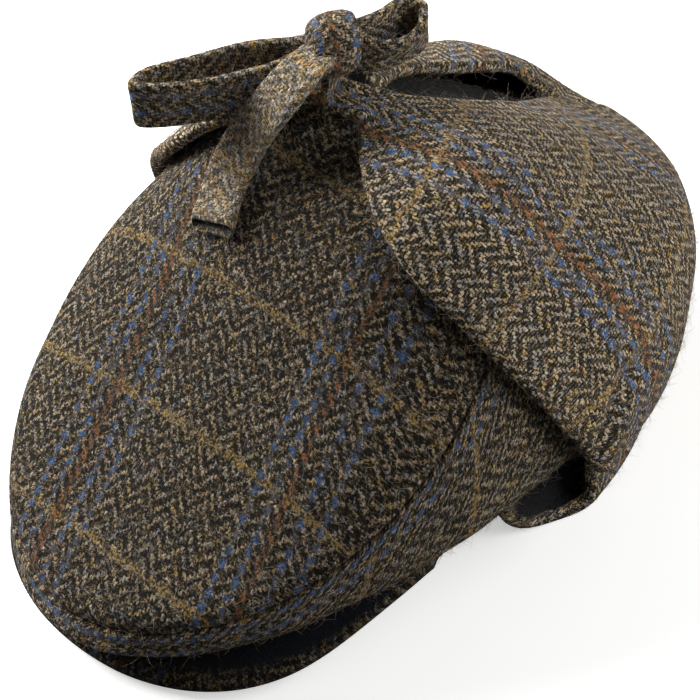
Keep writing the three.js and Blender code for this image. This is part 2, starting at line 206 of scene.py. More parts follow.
def loftMesh(name, rings, cloth, liningAndShade, closedPath=False):
    # Closed skin through a stack of closed rings. Each ring joins its last point to its first. The stack
    # either joins its last ring to its first or ends in one middle point at each end.
    # cloth has one more column than rings, and one more row on a closed stack.
    stack, around = rings.shape[:2]
    rows = np.arange(stack if closedPath else stack - 1)[:, None]
    columns = np.arange(around)[None]
    corners = [(0, 0), (0, 1), (1, 1), (1, 0)]
    quads = np.stack([(rows + down) % stack * around + (columns + on) % around for down, on in corners], -1)
    quads = quads.reshape(-1, 4)
    quadCloth = np.stack([cloth[rows + down, columns + on] for down, on in corners], -2).reshape(-1, 4, 2)
    points, mask = rings.reshape(-1, 3), liningAndShade.reshape(-1)
    tris, trisCloth = np.zeros((0, 3), int), np.zeros((0, 3, 2))
    if not closedPath:
        points = join([points, rings[:1].mean(1), rings[-1:].mean(1)])
        mask = join([mask, liningAndShade[:1].mean(1), liningAndShade[-1:].mean(1)])
        here, after = np.arange(around), (np.arange(around) + 1) % around
        lastRing, middles = (stack - 1) * around, stack * around
        tris = join([
            np.stack([np.full(around, middles), after, here], -1),
            np.stack([lastRing + here, lastRing + after, np.full(around, middles + 1)], -1)])
        ends = [np.repeat(cloth[row, :-1].mean(0)[None], around, 0) for row in (0, -1)]
        trisCloth = join([np.stack([ends[0], cloth[0, 1:], cloth[0, :-1]], -2),
                          np.stack([cloth[-1, :-1], cloth[-1, 1:], ends[1]], -2)])
    volume = sum(np.einsum("ij,ij->", points[face[:, 0]], np.cross(points[face[:, 1]], points[face[:, 2]]))
                 for face in (quads[:, [0, 1, 2]], quads[:, [0, 2, 3]], tris))
    if volume < 0:
        quads, quadCloth, tris, trisCloth = (part[:, ::-1] for part in (quads, quadCloth, tris, trisCloth))
    mesh = bpy.data.meshes.new(name)
    mesh.from_pydata(((points + shift) / 1000).tolist(), [], quads.tolist() + tris.tolist())
    clothMap = join([quadCloth.reshape(-1), trisCloth.reshape(-1)]).astype(np.float32)
    mesh.uv_layers.new(name="cloth").uv.foreach_set("vector", clothMap)
    mesh.attributes.new("liningAndShade", "FLOAT", "POINT").data.foreach_set("value", mask.astype(np.float32))
    return addPiece(name, mesh)


def addObject(name, data):
    item = bpy.data.objects.new(name, data)
    bpy.context.scene.collection.objects.link(item)
    return item


def addPiece(name, mesh):
    mesh.shade_smooth()
    mesh.update()
    return addObject(name, mesh)


def joinMeshes(name, pieces):
    # Several closed skins become one piece.
    for other in bpy.context.selected_objects:
        other.select_set(False)
    for piece in pieces:
        piece.select_set(True)
    bpy.context.view_layer.objects.active = pieces[0]
    bpy.ops.object.join()
    pieces[0].name = name
    pieces[0].data.name = name
    return pieces[0]


def settle(piece, node, finish):
    piece.data.materials.clear()
    piece.data.materials.append(tweed[finish])
    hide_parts(node)
    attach(piece, "root")
    print("made", piece.name, len(piece.data.polygons), "faces")
    return piece


class NodeBench:
    # Short hand for wiring one node tree.
    def __init__(self, tree):
        self.tree = tree

    def add(self, kind, **settings):
        node = self.tree.nodes.new(kind)
        for key, value in settings.items():
            setattr(node, key, value)
        return node

    def plug(self, socket, value):
        if isinstance(value, bpy.types.NodeSocket):
            self.tree.links.new(value, socket)
        else:
            socket.default_value = value

    def fill(self, node, names, values):
        for name, value in zip(names, values):
            self.plug(node.inputs[name], value)
        return node.outputs

    def math(self, operation, *values):
        return self.fill(self.add("ShaderNodeMath", operation=operation), range(len(values)), values)[0]

    def ramp(self, *values):
        node = self.add("ShaderNodeMapRange", interpolation_type="SMOOTHSTEP")
        return self.fill(node, ("Value", "From Min", "From Max", "To Min", "To Max"), values)["Result"]

    def mix(self, *values):
        return self.fill(self.add("ShaderNodeMix", data_type="RGBA"), (0, 6, 7), values)[2]

    def noise(self, *values):
        names = ("Vector", "Scale", "Detail", "Roughness", "Distortion")
        return self.fill(self.add("ShaderNodeTexNoise"), names, values)

    def split(self, vector):
        return self.fill(self.add("ShaderNodeSeparateXYZ"), (0,), (vector,))

    def dice(self, socketName, value, dimensions):
        node = self.add("ShaderNodeTexWhiteNoise", noise_dimensions=dimensions)
        return self.fill(node, (socketName,), (value,))[0]


def newMaterial(name, values):
    # A material of one plain shader with the given values.
    material = bpy.data.materials.new(name)
    material.use_nodes = True
    skin = material.node_tree.nodes["Principled BSDF"].inputs
    for key, value in values.items():
        skin[key].default_value = value
    return material, NodeBench(material.node_tree), skin


# Cloth finish: sizes in millimetres on the cloth
weave = {"yarn": 1.13, "yarnsInColumn": 5.0, "float": 5.0, "pick": 1.25, "step": 0.25, "wobble": 0.55,
         "fray": 0.34, "weftShown": 0.50, "fineFibres": 0.90, "liftOfYarn": 0.8, "liftOfHair": 0.7}
overcheck = {"rustHalf": 1.43, "rustSoft": 0.08, "goldEmpty": 2.1, "goldFull": 0.9,
             "blueLines": (-11.5, -4.9, 6.9, 13.8), "spotPitch": 4.9, "spotLong": 1.6, "spotWide": 1.1,
             "spotLag": 0.37, "period": 80.0, "goldPeriod": 46.0}
tweedColours = {"Dark": (0.0095, 0.0075, 0.0048), "Light": (0.59, 0.478, 0.33), "Blue": (0.105, 0.22, 0.47),
                "Rust": (0.40, 0.135, 0.045), "Gold": (0.52, 0.325, 0.085), "Cool": (0.26, 0.30, 0.36)}
spunIn = (("Gold", 0.45, 0.68, 0.9), ("Cool", 0.48, 0.70, 0.8), ("Rust", 0.57, 0.80, 0.6))
groupValues = ("Nap", "Fill", "Stripe Place", "Gold Place", "Gold Strength")
# navy for the lining inside, also used as painted shade on outer faces that lie in shadow
liningAndShadeCloth = {"colour": (0.0060, 0.0076, 0.0120), "deep": 0.6, "pale": 1.5, "grain": (1.4, 3.0, 0.6)}
woolSurface = {"Roughness": 0.95, "Specular IOR Level": 0.12, "Sheen Roughness": 0.55,
               "Sheen Tint": (1.0, 0.93, 0.82, 1)}
bumpDistance = 0.0007


def makeWeaveGroup():
    # Herringbone from yarns: warp yarns lie side by side across the cloth, each floats over half of a pitch
    # along it, each next yarn starts a share of the pitch later, and the direction turns every few yarns.
    # Loose fibres are the contour lines of a slow noise, which curl as wool does.
    group = bpy.data.node_groups.new("herringboneTweed", "ShaderNodeTree")
    sockets = [("Cloth", "INPUT", "Vector"), *((name, "INPUT", "Color") for name in tweedColours),
               *((name, "INPUT", "Float") for name in groupValues),
               ("Color", "OUTPUT", "Color"), ("Height", "OUTPUT", "Float")]
    for name, way, kind in sockets:
        group.interface.new_socket(name, in_out=way, socket_type="NodeSocket" + kind)
    wire = NodeBench(group)
    given, end = wire.add("NodeGroupInput").outputs, wire.add("NodeGroupOutput")
    ramp = wire.ramp
    plus, minus, times, over, most, floor, fract, sine, absolute, timesPlus = (
        functools.partial(wire.math, operation) for operation in (
            "ADD", "SUBTRACT", "MULTIPLY", "DIVIDE", "MAXIMUM", "FLOOR", "FRACT", "SINE", "ABSOLUTE",
            "MULTIPLY_ADD"))

    def layer(depth, scale, detail=1.0, rough=0.5, curl=0.0):
        # noise on its own layer of the cloth, so that no two of them line up
        lifted = wire.add("ShaderNodeVectorMath", operation="ADD")
        lifted = wire.fill(lifted, (0, 1), (given["Cloth"], (0, 0, depth)))
        return wire.noise(lifted[0], scale, detail, rough, curl)

    def centred(value, gain):
        return times(minus(value, 0.5), gain)

    # yarns wander a little and fray at their edges
    slow, quick = wire.split(layer(0.0, 0.22)["Color"]), wire.split(layer(5.0, 1.1)["Color"])
    loose = timesPlus(given["Nap"], 0.7, 0.3)
    plain = wire.split(given["Cloth"])

    def moved(axis):
        wandered = plus(plain[axis], centred(slow[axis], weave["wobble"] * 4))
        return plus(wandered, times(centred(quick[axis], weave["fray"] * 4), loose))

    across, along = moved(0), moved(1)
    yarn = over(across, weave["yarn"])
    index = floor(yarn)
    turn = wire.math("PINGPONG", index, weave["yarnsInColumn"])
    halfTurn = floor(over(index, weave["yarnsInColumn"]))
    phase = plus(times(turn, weave["step"]), over(along, weave["float"]))
    phase = plus(times(halfTurn, 0.5), phase)
    wave = sine(times(phase, 2 * math.pi))
    onTop, beneath = ramp(wave, -0.05, 0.45), ramp(wave, 0.05, -0.45)
    warpRound = sine(times(fract(yarn), math.pi))
    weftRound = sine(times(fract(over(along, weave["pick"])), math.pi))
    cell = wire.fill(wire.add("ShaderNodeCombineXYZ"), (0, 1), (index, floor(phase)))
    tone = wire.dice("Vector", cell[0], "2D")

    def fibres(depth, scale, wide):
        contour = absolute(minus(layer(depth, scale, 1.0, 0.45, 0.7)[0], 0.5))
        return ramp(contour, wide, 0.0)

    # loose fibres over the yarns
    hair = most(fibres(9.0, 0.98, 0.10), times(fibres(14.0, 1.45, 0.11), weave["fineFibres"]))
    patchy = layer(19.0, 0.70)[0]
    hair = times(hair, ramp(patchy, 0.32, 0.66, 0.30, 1.0))
    grain = layer(23.0, 1.25, 1.0, 0.6)[0]
    weft = times(times(beneath, minus(weftRound, 0.15)), weave["weftShown"])
    stroke = plus(times(onTop, ramp(warpRound, -0.1, 0.75)), weft)
    stroke = times(stroke, ramp(grain, 0.34, 0.60, 0.30, 1.10))
    stroke = times(stroke, timesPlus(tone, 0.55, 0.6))
    felted = plus(hair, times(ramp(grain, 0.40, 0.70), 0.35))
    felted = times(felted, timesPlus(onTop, 0.42, 0.58))
    shade = plus(times(stroke, minus(1.0, given["Nap"])), times(felted, given["Nap"]))

    # fibres of several colours spun together
    hue, hueFine = wire.split(layer(27.0, 0.30, 2.0)["Color"]), wire.split(layer(31.0, 0.9)["Color"])
    light = given["Light"]
    for k, (name, low, high, share) in enumerate(spunIn):
        spun = ramp(plus(hue[k], centred(hueFine[k], 0.8)), low, high, 0.0, share)
        light = wire.mix(spun, light, given[name])

    # overcheck: blue lines either side of rust yarns, and gold picks across, each seen where it lies on top
    def away(value, place, period):
        half = period / 2
        return minus(wire.math("WRAP", plus(minus(value, place), half), period, 0.0), half)

    def spots(offset):
        # uneven spots along one blue line, some of them weaker
        pitch = overcheck["spotPitch"]
        run = plus(over(along, pitch), offset * overcheck["spotLag"])
        onward = times(minus(fract(run), 0.5), pitch / overcheck["spotLong"])
        aside = away(across, given["Stripe Place"], overcheck["period"])
        aside = over(minus(aside, offset), overcheck["spotWide"])
        reach = plus(times(onward, onward), times(aside, aside))
        reach = plus(reach, plus(centred(grain, 7.0), centred(patchy, 4.0)))
        which = wire.dice("W", plus(floor(run), offset), "1D")
        return times(ramp(reach, 1.9, 0.3), ramp(which, 0.05, 0.65, 0.5, 1.0))

    blue = spots(overcheck["blueLines"][0])
    for offset in overcheck["blueLines"][1:]:
        blue = most(blue, spots(offset))
    broken = plus(grain, centred(patchy, 0.8))
    rustShown = times(ramp(wave, -0.3, 0.6, 0.25, 1.0), ramp(broken, 0.34, 0.60, 0.22, 1.0))
    goldShown = times(ramp(wave, 0.5, -0.4, 0.30, 1.0), ramp(broken, 0.36, 0.60, 0.20, 1.0))
    fromRust = away(times(plus(index, 0.5), weave["yarn"]), given["Stripe Place"], overcheck["period"])
    fromGold = away(along, given["Gold Place"], overcheck["goldPeriod"])
    half, soft = overcheck["rustHalf"], overcheck["rustSoft"]
    rust = times(ramp(absolute(fromRust), half + soft, half - soft), rustShown)
    gold = times(ramp(absolute(fromGold), overcheck["goldEmpty"], overcheck["goldFull"]), goldShown)
    gold = times(gold, given["Gold Strength"])
    for name, shown in (("Gold", gold), ("Rust", rust), ("Blue", blue)):
        light = wire.mix(shown, light, given[name])
    lineShade = ramp(plus(times(grain, 0.5), times(hair, 0.45)), 0.18, 0.60, 0.12, 1.0)
    lineShade = times(most(most(gold, rust), blue), lineShade)
    shown = most(ramp(plus(shade, given["Fill"]), 0.12, 0.80), lineShade)
    wire.plug(end.inputs["Color"], wire.mix(shown, given["Dark"], light))
    lift = plus(times(stroke, weave["liftOfYarn"]), times(hair, weave["liftOfHair"]))
    wire.plug(end.inputs["Height"], lift)
    return group


weaveGroup = makeWeaveGroup()


def tint(colour, bright):
    return tuple(part * bright for part in colour) + (1,)


def tweedMaterial(name, bright, bumpStrength, sheen, *values):
    # The shared weave with this piece's own brightness (which holds painted light and shade), nap and lines,
    # and the navy lining where its mask says; the same mask also paints shade in navy on some outer faces.
    material, wire, skin = newMaterial(name, {**woolSurface, "Sheen Weight": sheen})
    place = wire.add("ShaderNodeUVMap", uv_map="cloth").outputs[0]
    cloth = wire.add("ShaderNodeGroup", node_tree=weaveGroup)
    colours = (tint(colour, bright) for colour in tweedColours.values())
    cloth = wire.fill(cloth, ("Cloth", *tweedColours, *groupValues), (place, *colours, *values))
    fleck = wire.noise(place, *liningAndShadeCloth["grain"])[0]
    navy = wire.mix(fleck, *(tint(liningAndShadeCloth["colour"], liningAndShadeCloth[key]) for key in ("deep", "pale")))
    # one mask for the real lining and for painted shade, both shown in navy
    navyShare = wire.add("ShaderNodeAttribute", attribute_name="liningAndShade").outputs["Fac"]
    wire.plug(skin["Base Color"], wire.mix(navyShare, cloth["Color"], navy))
    bump = wire.fill(wire.add("ShaderNodeBump"), ("Strength", "Distance", "Height"),
                     (bumpStrength, bumpDistance, cloth["Height"]))
    wire.plug(skin["Normal"], bump[0])
    return material


# brightness, bump, sheen, nap, fill, place of the lines, place and strength of the gold ones; brightness
# holds painted light and shade on the one tweed, darkest on the peak and lightest on the flaps and tail,
# whose fill is raised as painted light too
tweedFinish = {
    "crownTweed": (0.84, 0.85, 0.04, 0.75, -0.11, 37.5, -23.3, 1.0),
    "bandTweed": (1.15, 0.85, 0.05, 0.70, -0.10, 2.0, 20.0, 1.0),
    "peakTweed": (0.30, 0.85, 0.02, 0.60, -0.04, 20.0, 10.0, 1.0),
    "flapTweed": (1.48, 0.90, 0.08, 0.40, -0.01, 10.5, 0.0, 0.8),
    "tailTweed": (1.60, 1.10, 0.20, 0.50, 0.11, 0.0, 21.0, 1.0),
    "tieTweed": (1.25, 0.90, 0.08, 0.50, 0.0, 0.0, 21.0, 1.0),
}
tweed = {name: tweedMaterial(name, *values) for name, values in tweedFinish.items()}
print("cloth finishes made")

# Crown: top panel and side band
crownTopPanel = {"rows": 84, "columns": 216, "innerRows": 10, "lipRows": 5, "lipLevel": 0.004,
                 "crowding": 0.92, "waves": (3, 60), "flatStart": 3, "flatStep": 6, "clothLength": 1.22,
                 "turnOfCloth": 7.0, "darkStrip": 21.0, "stripFade": 4.0, "stripDark": 0.9,
                 "stripStart": 11.0, "stripStartFade": 5.0}
crownSideBand = {"outerRows": 44, "innerRows": 12, "lipRows": 4, "columns": 240, "lowLevel": 0.006,
                 "topLip": 0.005, "bendLevel": 0.17, "bendShare": 0.45, "waves": (5, 50),
                 "evenLevel": 0.02, "evenFade": 0.08, "clearOfFloor": 4.5}


def lipRound(steps):
    # Angles over the edge of a wall, from the outer face to the inner one.
    return np.linspace(0, np.pi, steps + 2)[1:-1]


def crownSkin(angle, level, depth, away, waves, even, extra):
    # A crown panel sunk by its depth. It dips to the seam as a bell curve of the distance from it, and is a
    # little uneven elsewhere.
    dip = crown["seamDip"] * bell(away / crown["seamDipWidth"])
    uneven = softWaves(crownPoint(angle + 0 * level, level), *waves, crown["unevenness"])
    uneven *= fade(away, 0, crown["evenAtSeam"]) * even
    return crownOff(angle[None], level, extra + uneven - depth - dip)


def makeCrownTop():
    # Dome from the top point down to the seam, over its edge and back inside. Near the seam the face
    # puffs a little and then dips into it.
    size = crownTopPanel
    rows, columns, innerRows, step = (size[key] for key in ("rows", "columns", "innerRows", "flatStep"))
    angle = np.linspace(-np.pi, np.pi, columns + 1)[:-1]
    start = seamLevel(angle) + crown["seamGap"]
    face = (1 - start - size["lipLevel"])[None]
    outerLevel = 1 - np.linspace(0, 1, rows + 1)[1:, None] ** size["crowding"] * face
    lip = lipRound(size["lipRows"])
    lipLevel = (start + size["lipLevel"])[None] - size["lipLevel"] * np.sin(lip)[:, None]
    innerLevel = 1 - np.linspace(1, 0, innerRows + 1)[:-1, None] * face
    level = join([outerLevel, lipLevel, innerLevel])
    wall = crown["wall"]
    depth = join([np.zeros(rows), wall / 2 * (1 - np.cos(lip)), np.full(innerRows, wall)])
    away = (level - start) * crown["levelLength"]
    puff = crown["seamPuff"] * bell((away - crown["seamPuffPlace"]) / crown["seamPuffWidth"])
    rings = crownSkin(angle, level, depth[:, None], away, size["waves"], 1, puff)
    # the cloth is laid flat on every few points
    coarse = rings[size["flatStart"]:rows:step, ::step]
    flat = layFlat(coarse, coarse[..., :2] * np.array([1, size["clothLength"]]), wrap=True)
    flat = join([flat, flat[:, :1]], 1)
    flat = flat - flat[:1].mean((0, 1))
    turn = math.radians(size["turnOfCloth"])
    flat[..., 0] = flat[..., 0] * math.cos(turn) + flat[..., 1] * math.sin(turn)
    fineRows = (np.arange(rows) - size["flatStart"]) / step
    lastRow = fineRows[-1]
    places = join([fineRows, np.full(len(lip), lastRow), np.linspace(lastRow, 0, innerRows)])
    cloth = betweenGrid(flat, places, np.arange(columns + 1) / step)
    # the strip of crown between the two flaps is painted in the lining's navy as painted shade
    liningAndShade = np.clip((size["darkStrip"] - np.abs(rings[..., 0])) / size["stripFade"], 0, size["stripDark"])
    liningAndShade *= fade(rings[..., 1], size["stripStart"], size["stripStartFade"])
    liningAndShade[rows + len(lip) // 2 + 1:] = 1
    return loftMesh("crownTop", rings, cloth, liningAndShade)


def makeCrownSide():
    # Band from the head opening up to the seam, over its edge, down inside and round the lower fold.
    size = crownSideBand
    rows, columns, innerRows = size["outerRows"], size["columns"], size["innerRows"]
    low, bend, bendShare = size["lowLevel"], size["bendLevel"], size["bendShare"]
    angle = np.linspace(-np.pi, np.pi, columns + 1)[:-1]
    end = seamLevel(angle) - crown["seamGap"]
    top = (end - size["topLip"])[None]
    rise = np.linspace(0, 1, rows)[:, None]
    climb = (rise - bendShare) / (1 - bendShare)
    outerLevel = np.where(rise < bendShare, low + rise / bendShare * (bend - low),
                          bend + climb * (top - bend))
    lip = lipRound(size["lipRows"])[:, None]
    upperLip = top + size["topLip"] * np.sin(lip)
    innerLevel = np.linspace(1, 0, innerRows)[:, None] * (top - low) + low
    lowerLip = low * (1 - np.sin(lip)) + 0 * top
    level = np.clip(join([outerLevel, upperLip, innerLevel, lowerLip]), 0.0, 1)
    wall = crown["wall"]
    depth = join([np.zeros((rows, 1)), wall / 2 * (1 - np.cos(lip)), np.full((innerRows, 1), wall),
                  wall / 2 * (1 + np.cos(lip))])
    away = (end - level) * crown["levelLength"]
    even = fade(level, size["evenLevel"], size["evenFade"])
    rings = crownSkin(angle, level, depth, away, size["waves"], even, 0)
    rings[..., 2] = np.maximum(rings[..., 2], size["clearOfFloor"])
    # the cloth runs true round the band and down from the seam
    outer = join([rings[:rows], rings[:rows, :1]], 1)
    around = lengthAlong(outer[rows // 2:], 1).mean(0)
    down = lengthAlong(outer[::-1], 0)[::-1]
    face = np.stack([-down, np.broadcast_to(around - around[-1] / 2, down.shape)], -1)
    back = np.round(np.linspace(rows - 1, 0, innerRows)).astype(int)
    upperFold, lowerFold = (np.repeat(face[row:row + 1 or None], len(lip), 0) for row in (-1, 0))
    cloth = join([face, upperFold, face[back], lowerFold, face[:1]])
    liningAndShade = np.zeros(level.shape)
    liningAndShade[rows + len(lip) - 1:rows + len(lip) + innerRows] = 1
    return loftMesh("crownSide", rings, cloth, liningAndShade, closedPath=True)


crownTop = settle(makeCrownTop(), "crown_top", "crownTweed")
crownSide = settle(makeCrownSide(), "crown_side", "bandTweed")

# Peak
peakSize = {"halfWidth": 73.6, "front": 144.0, "ends": 41.0, "bluntness": 0.48, "endRise": 6.0,
            "flatRise": 0.4, "rimAngle": 70.0, "bow": 1.5, "thickness": 3.6, "restGap": 0.35, "columns": 160,
            "rows": 26, "beadRows": 7, "endShare": 0.998, "tipRise": 4.2, "tipSharpness": 24,
            "rimShown": 4.0, "rimFade": 4.0}


def roundedEdge(inset, half):
    # Half the thickness at a distance in from a half-round edge.
    return half * np.sqrt(np.clip(1 - (1 - np.clip(inset / half, 0, 1)) ** 2, 0, 1))


def makePeak():
    # Straight rows from the rim to a broad outer arc, bowed a little upwards, with a half-round outer edge.
    size = peakSize
    turn = np.linspace(-size["endShare"], size["endShare"], size["columns"])[:, None]
    rim = crownPoint(turn * math.radians(size["rimAngle"]), 0 * turn)
    rim[..., 2] -= size["restGap"] + size["thickness"]
    aside, ahead = np.sin(turn * np.pi / 2), np.cos(turn * np.pi / 2)
    rise = size["endRise"] * aside**2 + size["tipRise"] * aside ** size["tipSharpness"] - size["flatRise"]
    edge = np.stack([size["halfWidth"] * aside,
                     -size["ends"] - (size["front"] - size["ends"]) * ahead ** size["bluntness"],
                     np.maximum(0, rise)], -1)
    half = size["thickness"] / 2
    length = np.linalg.norm(edge - rim, axis=-1)
    beadTurn = np.linspace(0, np.pi / 2, size["beadRows"] + 1)[1:]
    bead = np.broadcast_to(half * (1 - np.sin(beadTurn)), (len(turn), size["beadRows"]))
    inset = join([(length - half) * (1 - np.linspace(0, 1, size["rows"])) + half, bead], 1)
    share = 1 - inset / length
    middle = rim + (edge - rim) * share[..., None]
    middle[..., 2] += half + size["bow"] * np.sin(np.pi * np.clip(share, 0, 1))
    thick = roundedEdge(inset, half)[..., None] * np.array([0, 0, 1])
    rings = join([middle + thick, (middle - thick)[:, -2::-1]], 1)
    # the cloth goes round the edge and on underneath
    longer = join([np.zeros(size["rows"]), half * (beadTurn - np.sin(beadTurn))])
    face = middle[..., :2] + unit((edge - rim)[..., :2]) * longer[:, None]
    under = 2 * face[:, -1:] - face
    cloth = join([face, under[:, -2::-1], under[:, :1]], 1)
    # painted shade: the upper face is navy-dark in from a tweed rim, as under the crown's overhang
    shaded = fade(inset, size["rimShown"], size["rimFade"])
    liningAndShade = join([shaded, np.zeros_like(shaded[:, 1:])], 1)
    return loftMesh("peak", rings, cloth, liningAndShade)


settle(makePeak(), "peak", "peakTweed")

# Ear flaps, folded up over the crown
flapFold = {"share": [-0.06, 0.00, 0.16, 0.38, 0.66, 0.90], "height": [0, 6.4, 3.1, 2.25, 2.25, 4.2],
            "front": [83, 85, 87, 89, 93, 96.5]}
flapRise = {
    "level": [0.12, 0.20, 0.29, 0.38, 0.47, 0.56, 0.64, 0.71, 0.76, 0.81, 0.86, 0.91, 0.95],
    "frontLeft": [97.5, 94, 90.2, 88.6, 86.2, 82.6, 78.2, 72.4, 66.4, 60.6, 54.6, 48, 40],
    "frontRight": [97.5, 94, 90.2, 88.6, 86.2, 82.6, 77, 70.5, 66.5, 64.5, 64, 65, 68],
    "upperLeft": [180] * 7 + [178, 171, 164, 157.5, 151, 140],
    "upperRight": [180] * 7 + [170, 168, 163.5, 157.5, 151, 140],
    "off": [5.6, 5.2, 4.6, 4.2, 3.6, 3.6, 3.6, 3.8, 4.0, 4.0, 4.0, 4.0, 4.2],
}
# each tie station: place, width and how much higher its back edge is
flapTies = {
    "Left": [(4.5, 8.0, 138.4, 15, 3), (-0.5, 5.0, 139.6, 11, 6.5), (-7.0, 2.2, 141.0, 9, 8.5),
             (-9.2, 3.4, 148.0, 9, 7)],
    "Right": [(-13.4, 12.0, 139.5, 18, 0), (-14.0, 10.5, 143.5, 15, 0), (-13.0, 9.0, 149.0, 13, 0)],
}
flapPuff = {"height": 9.5, "angle": 158.0, "angleReach": 15.0, "level": 0.675, "levelReach": 0.1}
flapPinch = {"line": [(100.5, 0.0, 38.0), (99.5, 4.1, 44.9), (98.0, 10.7, 53.3), (95.5, 20.8, 60.7),
                      (93.5, 33.3, 58.9), (90.0, 49.4, 56.0)],
             "depth": 3.6, "reach": 3.8, "swell": 2.0, "swellPlace": 2.1, "fade": 0.5}
flapMake = {"thickness": 4.5, "backTuck": 2.0, "restGap": 0.35, "rows": 150, "columns": 64, "beadColumns": 7,
            "edgeColumns": 9, "edgeRoll": 0.10, "rollPlace": 3.5, "rollWidth": 2.5,
            "unevenness": 0.9, "waves": {"Left": (11, 42), "Right": (12, 42)}, "waveStart": 30.0,
            "waveFade": 40.0, "trialColumns": 41, "gapRadius": 200, "flatRows": 6, "flatColumns": 5,
            "straightShare": 5, "liningStart": 3.0, "liningFade": 1.5}


def flapStations(side, shares):
    # Middle of the flap's thickness at each station: the fold under the rim, the rows over the crown and the
    # tie. Both flaps are made in the wearer's left half.
    size, puff = flapMake, flapPuff
    half = size["thickness"] / 2
    gapAngle = size["restGap"] / size["gapRadius"]
    shares = iter(shares)

    def off(level, distance, angle, puffed):
        back = np.maximum(-np.cos(angle), 0) ** 2
        bulge = np.exp(-np.abs((np.degrees(angle) - puff["angle"]) / puff["angleReach"]) ** 3
                       - ((level - puff["level"]) / puff["levelReach"]) ** 2)
        return half + distance - size["backTuck"] * back + (puff["height"] * bulge if puffed else 0)

    def fan(front, last):
        front = math.radians(front)
        return front + (last - front) * next(shares)

    rows = []
    for share, height, front in zip(*flapFold.values()):
        angle = fan(front, np.pi - gapAngle)
        rim = crownPoint(angle, 0 * angle)
        upper = crownOff(angle, flapRise["level"][0], off(0, flapRise["off"][0], angle, False))
        point = rim + (upper - rim) * share
        point[:, 2] = height or rim[:, 2] - size["restGap"]
        rows.append(point)
    columns = (flapRise[key] for key in ("level", "front" + side, "upper" + side, "off"))
    for level, front, upper, distance in zip(*columns):
        angle = fan(front, math.radians(upper) - gapAngle)
        rows.append(crownOff(angle, level, off(level, distance, angle, side == "Right")))
    for x, y, z, width, rise in flapTies[side]:
        beside = next(shares) - 0.5
        rows.append(np.stack([np.full_like(beside, -x if side == "Right" else x), y + beside * width,
                              z + beside * rise], -1))
    return np.stack(rows)


def pinched(points):
    # A soft pinch along a broken line: the cloth sinks on it and swells beside it, less towards its far end.
    size = flapPinch
    line = np.array(size["line"])
    start, run = line[:-1], np.diff(line, axis=0)
    share = np.clip(((points[..., None, :] - start) * run).sum(-1) / (run**2).sum(-1), 0, 1)
    away = np.linalg.norm(points[..., None, :] - start - run * share[..., None], axis=-1)
    nearest = away.argmin(-1)[..., None]
    place = np.take_along_axis(share + np.arange(len(start)), nearest, -1)[..., 0] / len(start)
    away = np.take_along_axis(away, nearest, -1)[..., 0] / size["reach"]
    bend = size["swell"] * bell(away - size["swellPlace"]) - size["depth"] * bell(away)
    return bend * (1 - place) ** size["fade"]


def overEdge(face, thick):
    # Cloth from the field out to an edge: it goes on past its flat width, square to the edge, by the length
    # that the rise over the edge takes up. The other face has its mirror image beyond the edge.
    along = unit(np.gradient(face[:, -1], axis=0))
    square = np.stack([along[:, 1], -along[:, 0]], -1)
    square = (square * np.sign(((face[:, -1] - face[:, 0]) * square).sum(-1, keepdims=True)))[:, None]
    flatStep = (np.diff(face, axis=1) * square).sum(-1)
    longer = np.hypot(flatStep, np.diff(thick, axis=1)) - flatStep
    upper = face.copy()
    upper[:, 1:] += square * np.cumsum(longer, 1)[..., None]
    beyond = ((upper[:, -1:] - upper) * square).sum(-1, keepdims=True)
    return upper, upper + 2 * beyond * square


def sheetNormal(sheet):
    return unit(np.cross(np.gradient(sheet, axis=1), np.gradient(sheet, axis=0)))


